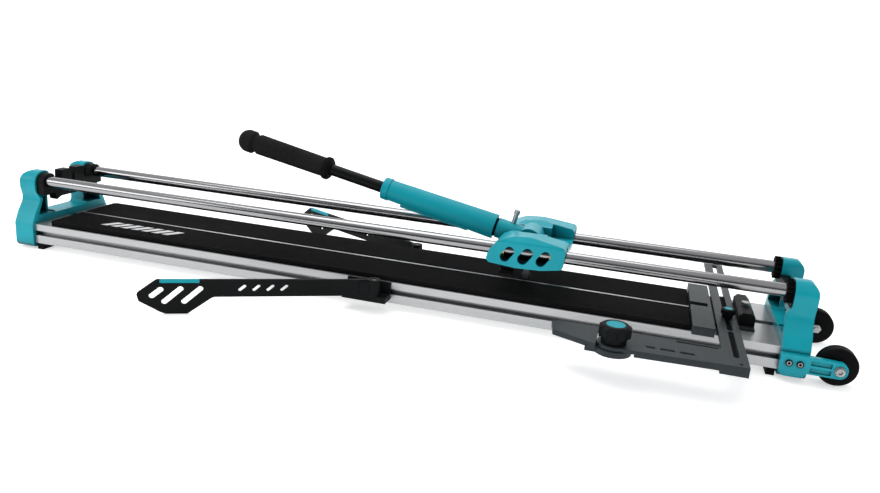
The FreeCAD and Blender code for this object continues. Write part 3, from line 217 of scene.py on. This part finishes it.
def powderGrey():
    # dark grey powder coat: pebbled, slightly mottled
    shade = Shade("powderGrey")
    base = coatedGrey["colour"]
    drift = shade.spread(shade.noise(coatedGrey["drift"], 4.0), 0.0, 1.0)
    body = shade.mixed(drift, tone(base, 0.88), tone(base, 1.15))
    wear = shade.times(shade.edgeMask(coatedGrey["wearEdge"]), 0.35)
    shade.colour(shade.mixed(wear, body, tone(base, coatedGrey["wornTone"])))
    shade.rough(shade.spread(shade.noise(420.0, 4.0), *coatedGrey["roughness"]))
    shade.fixed(Metallic=coatedGrey["metallic"], Specular_IOR_Level=coatedGrey["specular"])
    grain = shade.noise(coatedGrey["grain"], 2.0)
    shade.bump(grain, 0.45, coatedGrey["grainDepth"], shade.softEdges(coatedGrey["edge"]))
    return shade.material


drawnMetal = {"colour": (0.44, 0.445, 0.45), "roughness": (0.26, 0.40), "metallic": 0.88,
              "anisotropic": 0.45, "lines": (3.0, 1400.0, 1400.0), "lineDepth": 0.00003,
              "rubs": (26.0, 190.0, 190.0), "edge": 0.0004, "pocket": 0.012, "pocketTone": 0.10}


def drawnAluminium():
    # extrusion: die lines along its length, small handling marks, painted shade in the grooves
    shade = Shade("drawnAluminium")
    base = drawnMetal["colour"]
    lines = shade.noise(1.0, 6.0, 0.65, shade.stretched(*drawnMetal["lines"]))
    rubs = shade.noise(1.0, 4.0, 0.6, shade.stretched(*drawnMetal["rubs"]))
    marks = shade.spread(rubs, 0.0, 1.0, 0.60, 0.74)
    body = shade.mixed(shade.spread(lines, 0.0, 1.0), tone(base, 0.88), tone(base, 1.04))
    body = shade.mixed(shade.times(marks, 0.25), body, tone(base, 0.70))
    # painted shade: the aluminium goes near black in the grooves, from ambient occlusion
    unshaded = shade.paintedShadeMask(drawnMetal["pocket"])
    shade.colour(shade.mixed(unshaded, tone(base, drawnMetal["pocketTone"]), body))
    shade.rough(shade.plus(shade.spread(lines, *drawnMetal["roughness"]), shade.times(marks, 0.10)))
    shade.fixed(Metallic=drawnMetal["metallic"], Anisotropic=drawnMetal["anisotropic"])
    shade.bump(lines, 0.25, drawnMetal["lineDepth"], shade.softEdges(drawnMetal["edge"]))
    return shade.material


polishedRail = {"colour": (0.31, 0.31, 0.315), "roughness": (0.13, 0.20), "rings": (2600.0, 20.0, 20.0),
                "ringDepth": 0.000004, "film": (9.0, 120.0, 120.0)}


def railChrome():
    # ground and chromed bar: faint rings from grinding, a light film of oil
    shade = Shade("railChrome")
    base = polishedRail["colour"]
    rings = shade.noise(1.0, 3.0, 0.6, shade.stretched(*polishedRail["rings"]))
    film = shade.noise(1.0, 4.0, 0.6, shade.stretched(*polishedRail["film"]))
    shade.colour(shade.mixed(shade.spread(film, 0.0, 1.0), tone(base, 0.93), tone(base, 1.03)))
    shade.rough(shade.spread(film, *polishedRail["roughness"]))
    shade.fixed(Metallic=1.0)
    shade.bump(rings, 0.04, polishedRail["ringDepth"])
    return shade.material


smallMetal = {"grain": 500.0, "grainDepth": 0.00002, "stains": 90.0, "edge": 0.0004}
zincPlate = {"colour": (0.37, 0.37, 0.38), "roughness": (0.25, 0.42)}
brassBush = {"colour": (0.60, 0.44, 0.17), "roughness": (0.23, 0.40)}
carbideSteel = {"colour": (0.16, 0.165, 0.17), "roughness": (0.29, 0.46)}


def platedSteel(name, look):
    # small turned and plated pieces: fine grain, faint stains
    shade = Shade(name)
    base = look["colour"]
    grain = shade.noise(smallMetal["grain"], 5.0, 0.6)
    stain = shade.spread(shade.noise(smallMetal["stains"], 4.0), 0.0, 1.0)
    shade.colour(shade.mixed(stain, tone(base, 0.86), tone(base, 1.08)))
    shade.rough(shade.spread(grain, *look["roughness"]))
    shade.fixed(Metallic=1.0)
    shade.bump(grain, 0.18, smallMetal["grainDepth"], shade.softEdges(smallMetal["edge"]))
    return shade.material


allRubber = {"dustColour": (0.035, 0.034, 0.032, 1.0), "dustPatches": 7.0, "mottle": 160.0,
             "specular": 0.065, "grainDepth": 0.00007, "edge": 0.0006}
padRubber = {"colour": (0.0040, 0.0040, 0.0042), "roughness": (0.74, 0.88), "grain": 700.0, "dust": 0.10}
foamGrip = {"colour": (0.0105, 0.0105, 0.0108), "roughness": (0.68, 0.82), "grain": 420.0, "dust": 0.22}
tyreRubber = {"colour": (0.0034, 0.0034, 0.0036), "roughness": (0.56, 0.70), "grain": 520.0, "dust": 0.06}


def rubberSkin(name, look):
    # matte rubber with a breath of dust in slow patches
    shade = Shade(name)
    base = look["colour"]
    cloud = shade.spread(shade.noise(allRubber["dustPatches"], 6.0, 0.6), 0.0, 1.0, 0.42, 0.72)
    mottle = shade.spread(shade.noise(allRubber["mottle"], 3.0), 0.0, 1.0)
    body = shade.mixed(mottle, tone(base, 0.85), tone(base, 1.2))
    shade.colour(shade.mixed(shade.times(cloud, look["dust"]), body, allRubber["dustColour"]))
    shade.rough(shade.spread(shade.noise(220.0, 4.0), *look["roughness"]))
    shade.fixed(Specular_IOR_Level=allRubber["specular"])
    grain = shade.noise(look["grain"], 4.0, 0.7)
    shade.bump(grain, 0.40, allRubber["grainDepth"], shade.softEdges(allRubber["edge"]))
    return shade.material


blackCoat = {"colour": (0.0045, 0.0048, 0.0050), "roughness": (0.30, 0.44), "specular": 0.10,
             "drift": 30.0, "pebble": 800.0, "pebbleDepth": 0.00004, "edge": 0.0005}


def coatedTube():
    # black coat on the handle tube, the breaker foot and the bracket screws
    shade = Shade("coatedTube")
    base = blackCoat["colour"]
    pebble = shade.noise(blackCoat["pebble"], 3.0)
    drift = shade.spread(shade.noise(blackCoat["drift"], 4.0), 0.0, 1.0)
    shade.colour(shade.mixed(drift, tone(base, 0.85), tone(base, 1.25)))
    shade.rough(shade.spread(pebble, *blackCoat["roughness"]))
    shade.fixed(Specular_IOR_Level=blackCoat["specular"])
    shade.bump(pebble, 0.30, blackCoat["pebbleDepth"], shade.softEdges(blackCoat["edge"]))
    return shade.material


finishes = {
    "teal_paint": castEnamel(),
    "teal_plastic": sleevePlastic(),
    "black_rubber": rubberSkin("padRubber", padRubber),
    "wheel_rubber": rubberSkin("tyreRubber", tyreRubber),
    "black_plastic": mouldedBlack(),
    "black_metal": coatedTube(),
    "grey_metal": powderGrey(),
    "aluminium": drawnAluminium(),
    "chromed_steel": railChrome(),
    "zinc_steel": platedSteel("zincPlate", zincPlate),
    "brass_insert": platedSteel("brassBush", brassBush),
    "carbide": platedSteel("carbideSteel", carbideSteel),
}
gripFoam = rubberSkin("foamGrip", foamGrip)
for entry in frame["record"]["subparts"]:
    target = nodes[entry["node"]]
    finish = gripFoam if entry["node"] == "handle_grip" else finishes[entry["material_slot"]]
    if not target.data.materials:
        target.data.materials.append(finish)
    for index in range(len(target.data.materials)):
        target.data.materials[index] = finish
print("finishes on", len(nodes), "nodes")


# helpers for the added pieces
def newPiece(name, mesh, finish, body):
    piece = bpy.data.objects.new(name, mesh)
    scene.collection.objects.link(piece)
    mesh.materials.clear()
    mesh.materials.append(finish)
    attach(piece, body)
    return piece


def smoothAll(mesh, limit=None):
    for face in mesh.polygons:
        face.use_smooth = True
    if limit is not None:
        mesh.set_sharp_from_angle(angle=math.radians(limit))


def meshFrom(name, corners, faces):
    mesh = bpy.data.meshes.new(name)
    mesh.from_pydata([tuple(c) for c in corners], [], faces)
    mesh.validate()
    mesh.update()
    return mesh


def closedMesh(name, bm):
    # turns a closed bmesh outward and hands it over as a mesh
    bmesh.ops.recalc_face_normals(bm, faces=bm.faces)
    mesh = bpy.data.meshes.new(name)
    bm.to_mesh(mesh)
    bm.free()
    return mesh


hair = 0.00002  # gap between a thin piece and the face under it

# tile pads: ribbed rubber mats with one rounded corner each
tilePad = {"pitch": 0.0030, "ribDepth": 0.00045, "edge": 0.0010, "softStep": 0.0004, "softDrop": 0.0003,
           "ribFlat": 0.58, "ribStart": 0.70, "ribStop": 0.88, "endDrop": 0.0006, "endStep": 0.0008,
           "corner": 0.009}


def padLines(low, high):
    # Y stations across a pad with the depth of the surface at each
    look, edge = tilePad, tilePad["edge"]
    lines = [(low, edge), (low + look["softStep"], look["softDrop"]), (low + edge, 0.0)]
    count = int((high - low - 2 * edge) / look["pitch"])
    step = (high - low - 2 * edge) / count
    for i in range(count):
        start = low + edge + i * step
        lines += [(start + step * look["ribFlat"], 0.0),
                  (start + step * look["ribStart"], look["ribDepth"]),
                  (start + step * look["ribStop"], look["ribDepth"]), (start + step, 0.0)]
    lines += [(high - look["softStep"], look["softDrop"]), (high, edge)]
    return lines


def buildPad(name, outer):
    low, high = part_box(name)
    corners, faces = [], []
    lines = padLines(low.y, high.y)
    radius, drop, step = tilePad["corner"], tilePad["endDrop"], tilePad["endStep"]
    for y, depth in lines:
        inset = 0.0
        fromOuter = abs((low.y if outer < 0 else high.y) - y)
        if fromOuter < radius:
            inset = radius - math.sqrt(max(0.0, radius ** 2 - (radius - fromOuter) ** 2))
        top, left = high.z - depth, low.x + inset
        corners += [(left, y, low.z), (left, y, top - drop), (left + step, y, top),
                    (high.x - step, y, top), (high.x, y, top - drop), (high.x, y, low.z)]
    rows = len(lines)
    for i in range(rows - 1):
        for k in range(5):
            a, b = i * 6 + k, (i + 1) * 6 + k
            faces.append((a, a + 1, b + 1, b))
        faces.append((i * 6 + 5, i * 6, (i + 1) * 6, (i + 1) * 6 + 5))
    faces.append(tuple(range(5, -1, -1)))
    faces.append(tuple((rows - 1) * 6 + k for k in range(6)))
    bm = bmesh.new()
    points = [bm.verts.new(corner) for corner in corners]
    for face in faces:
        bm.faces.new([points[k] for k in face])
    mesh = closedMesh(name + "Mat", bm)
    piece = newPiece(name + "Mat", mesh, finishes["black_rubber"], "bed")
    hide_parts(name)


buildPad("front_pad", -1)
buildPad("rear_pad", 1)

# plain slanted bars printed on the front pad
printMark = {"start": -0.534, "length": 0.150, "nearY": -0.062, "tall": 0.027, "lean": 0.018,
             "bars": 7, "fill": 0.64}
printInk = {"colour": (0.72, 0.73, 0.73), "roughness": (0.48, 0.62), "specular": 0.3, "thinSpots": 650.0,
            "thinTone": 0.35, "grain": 700.0, "grainDepth": 0.00003}


def inkPrint():
    # screen print that has lost a little of its cover
    shade = Shade("inkPrint")
    base = printInk["colour"]
    thin = shade.spread(shade.noise(printInk["thinSpots"], 5.0, 0.7), 0.0, 0.45, 0.55, 0.70)
    shade.colour(shade.mixed(thin, tone(base, 1.0), tone(base, printInk["thinTone"])))
    shade.rough(shade.spread(shade.noise(200.0), *printInk["roughness"]))
    shade.fixed(Specular_IOR_Level=printInk["specular"])
    shade.bump(shade.noise(printInk["grain"], 3.0), 0.25, printInk["grainDepth"])
    return shade.material


def buildPrint():
    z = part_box("front_pad")[1].z + hair
    corners, faces = [], []
    near, far, lean = printMark["nearY"], printMark["nearY"] + printMark["tall"], printMark["lean"]
    step = printMark["length"] / printMark["bars"]
    for i in range(printMark["bars"]):
        left = printMark["start"] + i * step
        right = left + step * printMark["fill"]
        corners += [(left, near, z), (right, near, z), (right + lean, far, z), (left + lean, far, z)]
        faces.append(tuple(range(4 * i, 4 * i + 4)))
    newPiece("padPrint", meshFrom("padPrint", corners, faces), inkPrint(), "bed")


buildPrint()
print("pads done")

# dark strips that paint shade: one in the groove of the square's bar, two on the fence under the bar's slot
shadeStrip = {"grooveWide": 0.0074, "grooveFront": -0.1935, "grooveRear": -0.1004, "grooveFloor": 0.0014,
              "barThick": 0.0054, "knobGap": 0.0003, "blockGap": 0.0002, "tapeWide": 0.0120,
              "tapeEnd": 0.0905, "studClear": 0.0060, "thick": 0.00014, "endSteps": 8}


def stripMesh(name, x, frontY, rearY, z, wide, roundEnds):
    # flat strip along Y, round or square at its ends
    half, steps = wide / 2, shadeStrip["endSteps"]
    ring = []
    for end, y, start in ((-1, frontY, math.pi), (1, rearY, 0.0)):
        for i in range(steps + 1):
            turn = start + math.pi * i / steps
            if roundEnds:
                ring.append((x + half * math.cos(turn), y - end * half + half * math.sin(turn)))
            elif i in (0, steps):  # a square end needs its two corners only
                ring.append((x + half * math.cos(turn), y))
    bm = bmesh.new()
    lower = [bm.verts.new((px, py, z)) for px, py in ring]
    upper = [bm.verts.new((px, py, z + shadeStrip["thick"])) for px, py in ring]
    bm.faces.new(reversed(lower))
    bm.faces.new(upper)
    for i in range(len(ring)):
        j = (i + 1) % len(ring)
        bm.faces.new((lower[i], lower[j], upper[j], upper[i]))
    return closedMesh(name, bm)


def buildShadeStrips():
    look, dark = shadeStrip, finishes["black_rubber"]
    low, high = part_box("bar_knob_stud")
    x, studY = (low.x + high.x) / 2, (low.y + high.y) / 2
    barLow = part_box("bar_knob")[0].z - look["knobGap"] - look["barThick"]
    # painted shade: a black strip on the groove floor, where the bar keeps the light out
    groove = stripMesh("grooveShadeStrip", x, look["grooveFront"], look["grooveRear"],
                       barLow + look["grooveFloor"] + hair, look["grooveWide"], True)
    newPiece("grooveShadeStrip", groove, dark, "square")
    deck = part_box("fence_clamp_block")[0].z - look["blockGap"] + hair
    # painted shade: black tapes on the fence where the bar's slot lies in shade
    for name, start, stop in (("frontShadeTape", -look["tapeEnd"], studY - look["studClear"]),
                              ("rearShadeTape", studY + look["studClear"], look["tapeEnd"])):
        tape = stripMesh(name, x, start, stop, deck, look["tapeWide"], False)
        newPiece(name, tape, dark, "fence")


buildShadeStrips()

# axle bolts with a hex socket and a toothed washer, and the bright rims in the bracket screws
axleBolt = {"shank": 0.0040, "tip": 0.0036, "tipLong": 0.0006, "headRadius": 0.0060, "headDeep": 0.005,
            "bevel": 0.0006, "socket": 0.0032, "socketLead": 0.0004, "socketDeep": 0.0028, "steps": 48}
lockWasher = {"radius": 0.0078, "thick": 0.0011, "teeth": 16, "toothDeep": 0.0014, "lap": 0.0006,
              "slope": 0.0008, "rise": 0.0003}
screwRim = {"outer": 0.0034, "inner": 0.0021, "slope": 0.0002, "lip": 0.0001, "thick": 0.00016,
            "inset": 0.0048, "steps": 28}


def ringRows(bm, rings, x, z, side):
    # one row of corners for each ring of (radius list, depth); depth runs outward from the centre plane
    rows = []
    for radii, depth in rings:
        row = []
        for i, radius in enumerate(radii):
            turn = 2 * math.pi * i / len(radii)
            place = (x + radius * math.cos(turn), side * depth, z + radius * math.sin(turn))
            row.append(bm.verts.new(place))
        rows.append(row)
    return rows


def joinRows(bm, first, second):
    for a, b in zip(first, second):
        for i in range(len(a)):
            j = (i + 1) % len(a)
            bm.faces.new((a[i], a[j], b[j], b[i]))


def ringStack(bm, rings, x, z, side):
    rows = ringRows(bm, rings, x, z, side)
    joinRows(bm, rows, rows[1:])
    bm.faces.new(rows[0])
    bm.faces.new(reversed(rows[-1]))


def hexRadii(corner, count):
    # radius of a hexagon at count even turns, from its corner radius
    radii = []
    for i in range(count):
        turn = (2 * math.pi * i / count) % (math.pi / 3) - math.pi / 6
        radii.append(corner / math.cos(turn) * math.cos(math.pi / 6))
    return radii


def buildAxleBolt(name, node, side):
    low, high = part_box(node)
    x, z = (low.x + high.x) / 2, (low.z + high.z) / 2
    tail, head = (low.y, high.y) if side > 0 else (-high.y, -low.y)
    look, washer = axleBolt, lockWasher
    face, count = head - look["headDeep"], look["steps"]
    zinc = finishes["zinc_steel"]
    socket = hexRadii(look["socket"], count)
    bm = bmesh.new()
    ringStack(bm, [
        ([look["tip"]] * count, tail),
        ([look["shank"]] * count, tail + look["tipLong"]),
        ([look["shank"]] * count, face),
        ([look["headRadius"]] * count, face),
        ([look["headRadius"]] * count, head - look["bevel"]),
        ([look["headRadius"] - look["bevel"]] * count, head),
        (hexRadii(look["socket"] + look["socketLead"], count), head),
        (socket, head - look["socketLead"]),
        (socket, head - look["socketDeep"]),
    ], x, z, side)
    mesh = closedMesh(name, bm)
    smoothAll(mesh, 30)
    piece = newPiece(name, mesh, zinc, "bed")
    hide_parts(node)

    # lock washer under the head, with teeth round its rim
    teeth = [washer["radius"] - (washer["toothDeep"] if i % 4 in (0, 3) else 0.0)
             for i in range(washer["teeth"] * 4)]
    bore = [look["headRadius"] - washer["lap"]] * len(teeth)
    bm = bmesh.new()
    ringStack(bm, [
        (bore, face + hair),
        (teeth, face + hair),
        (teeth, face + washer["thick"]),
        ([r - washer["slope"] for r in teeth], face + washer["thick"] + washer["rise"]),
        (bore, face + washer["thick"] + washer["rise"]),
    ], x, z, side)
    mesh = closedMesh(name + "Washer", bm)
    smoothAll(mesh, 30)
    newPiece(name + "Washer", mesh, zinc, "bed")


def buildScrewRims():
    low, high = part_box("bracket_screws")
    z, look = (low.z + high.z) / 2, screwRim
    bm = bmesh.new()
    for side in (-1, 1):
        for x in (low.x + look["inset"], high.x - look["inset"]):
            rows = ringRows(bm, [
                ([look["inner"]] * look["steps"], high.y + hair),
                ([look["outer"]] * look["steps"], high.y + hair),
                ([look["outer"] - look["slope"]] * look["steps"], high.y + look["thick"]),
                ([look["inner"] + look["lip"]] * look["steps"], high.y + look["thick"]),
            ], x, z, side)
            joinRows(bm, rows, rows[1:] + rows[:1])
    newPiece("screwRims", closedMesh("screwRims", bm), finishes["zinc_steel"], "bed")


buildAxleBolt("frontAxleBolt", "front_axle_bolt", -1)
buildAxleBolt("rearAxleBolt", "rear_axle_bolt", 1)
buildScrewRims()
print("strips and fasteners done")

# stage: pale floor that curves up into a pale backdrop
stage = {"floor": (0.86, 0.865, 0.87), "glow": 0.56, "reach": 14.0, "bendStart": 3.2, "bendRadius": 1.6,
         "bendSteps": 12, "tall": 7.0, "sink": 0.0002}


def paleGround():
    shade = Shade("paleGround")
    base = stage["floor"]
    cloud = shade.spread(shade.noise(0.8, 3.0), 0.0, 1.0)
    shade.colour(shade.mixed(cloud, tone(base, 0.995), tone(base, 1.0)))
    shade.fixed(Roughness=0.85, Specular_IOR_Level=0.1, Emission_Color=(1.0, 1.0, 1.0, 1.0),
                Emission_Strength=stage["glow"])
    return shade.material


def buildStage():
    reach, bend, radius, steps = stage["reach"], stage["bendStart"], stage["bendRadius"], stage["bendSteps"]
    profile = [(-reach, 0.0), (bend, 0.0)]
    for i in range(1, steps + 1):
        turn = math.pi / 2 * i / steps
        profile.append((bend + radius * math.sin(turn), radius - radius * math.cos(turn)))
    profile.append((bend + radius, stage["tall"]))
    corners = [(x, y, z - stage["sink"]) for y, z in profile for x in (-reach, reach)]
    faces = [(2 * i, 2 * i + 1, 2 * i + 3, 2 * i + 2) for i in range(len(profile) - 1)]
    mesh = meshFrom("paleGround", corners, faces)
    smoothAll(mesh)
    ground = bpy.data.objects.new("paleGround", mesh)
    scene.collection.objects.link(ground)
    mesh.materials.append(paleGround())


# soft light: name, place, aim, size and power of each box, and the air round them
softboxes = {
    "topSoftbox": ((-0.5, 0.3, 2.4), (-0.2, 0.0, 0.0), (2.6, 1.3), 31),
    "frontSoftbox": ((-2.4, -1.9, 1.2), (-0.5, 0.0, 0.05), (1.5, 1.1), 17),
    "sideSoftbox": ((2.4, -1.2, 0.9), (0.6, 0.0, 0.08), (0.8, 0.8), 3),
}
studioAir = {"horizon": (0.09, 0.09, 0.095, 1), "low": (0.13, 0.13, 0.135, 1), "lowAt": 0.30,
             "high": (0.74, 0.74, 0.75, 1), "highAt": 0.75, "seen": (0.98, 0.98, 0.98, 1)}


def addLight(name, place, aim, size, power):
    data = bpy.data.lights.new(name, "AREA")
    data.shape = "RECTANGLE"
    data.size, data.size_y = size
    data.energy = power
    lamp = bpy.data.objects.new(name, data)
    scene.collection.objects.link(lamp)
    lamp.location = place
    lamp.rotation_euler = (Vector(aim) - Vector(place)).to_track_quat("-Z", "Y").to_euler()


def buildAir():
    # what is seen past the sheet stays pale, what lights the metals keeps its dark horizon
    world = bpy.data.worlds.new("studioAir")
    scene.world = world
    world.use_nodes = True
    tree = world.node_tree
    coord = tree.nodes.new("ShaderNodeTexCoord")
    split = tree.nodes.new("ShaderNodeSeparateXYZ")
    ramp = tree.nodes.new("ShaderNodeValToRGB")
    path = tree.nodes.new("ShaderNodeLightPath")
    seen = tree.nodes.new("ShaderNodeMix")
    seen.data_type = "RGBA"
    seen.inputs[7].default_value = studioAir["seen"]
    first, last = ramp.color_ramp.elements
    first.position, first.color = 0.0, studioAir["horizon"]
    last.position, last.color = studioAir["highAt"], studioAir["high"]
    ramp.color_ramp.elements.new(studioAir["lowAt"]).color = studioAir["low"]
    tree.links.new(coord.outputs["Generated"], split.inputs[0])
    tree.links.new(split.outputs["Z"], ramp.inputs[0])
    tree.links.new(path.outputs["Is Camera Ray"], seen.inputs[0])
    tree.links.new(ramp.outputs["Color"], seen.inputs[6])
    tree.links.new(seen.outputs[2], tree.nodes["Background"].inputs["Color"])
    tree.nodes["Background"].inputs["Strength"].default_value = 1.0


buildStage()
buildAir()
for name, values in softboxes.items():
    addLight(name, *values)

# camera
view = {"place": (0.4176, -1.2326, 0.4529), "yaw": -0.25, "pitch": 0.276, "roll": 0.079,
        "lens": 31.39, "sensor": 36.0, "near": 0.01}


def buildCamera():
    data = bpy.data.cameras.new("viewCamera")
    data.lens = view["lens"]
    data.sensor_width = view["sensor"]
    data.clip_start = view["near"]
    camera = bpy.data.objects.new("viewCamera", data)
    scene.collection.objects.link(camera)
    yaw, pitch, roll = view["yaw"], view["pitch"], view["roll"]
    forward = Vector((math.sin(yaw) * math.cos(pitch), math.cos(yaw) * math.cos(pitch), -math.sin(pitch)))
    side = Vector((math.cos(yaw), -math.sin(yaw), 0))
    up = side.cross(forward)
    right = side * math.cos(roll) + up * math.sin(roll)
    upright = up * math.cos(roll) - side * math.sin(roll)
    matrix = camera.matrix_world.copy()
    for row in range(3):
        matrix[row][0], matrix[row][1], matrix[row][2] = right[row], upright[row], -forward[row]
        matrix[row][3] = view["place"][row]
    camera.matrix_world = matrix
    scene.camera = camera


buildCamera()
scene.view_settings.view_transform = "Standard"
scene.view_settings.look = "None"
print("stage, light and camera done")
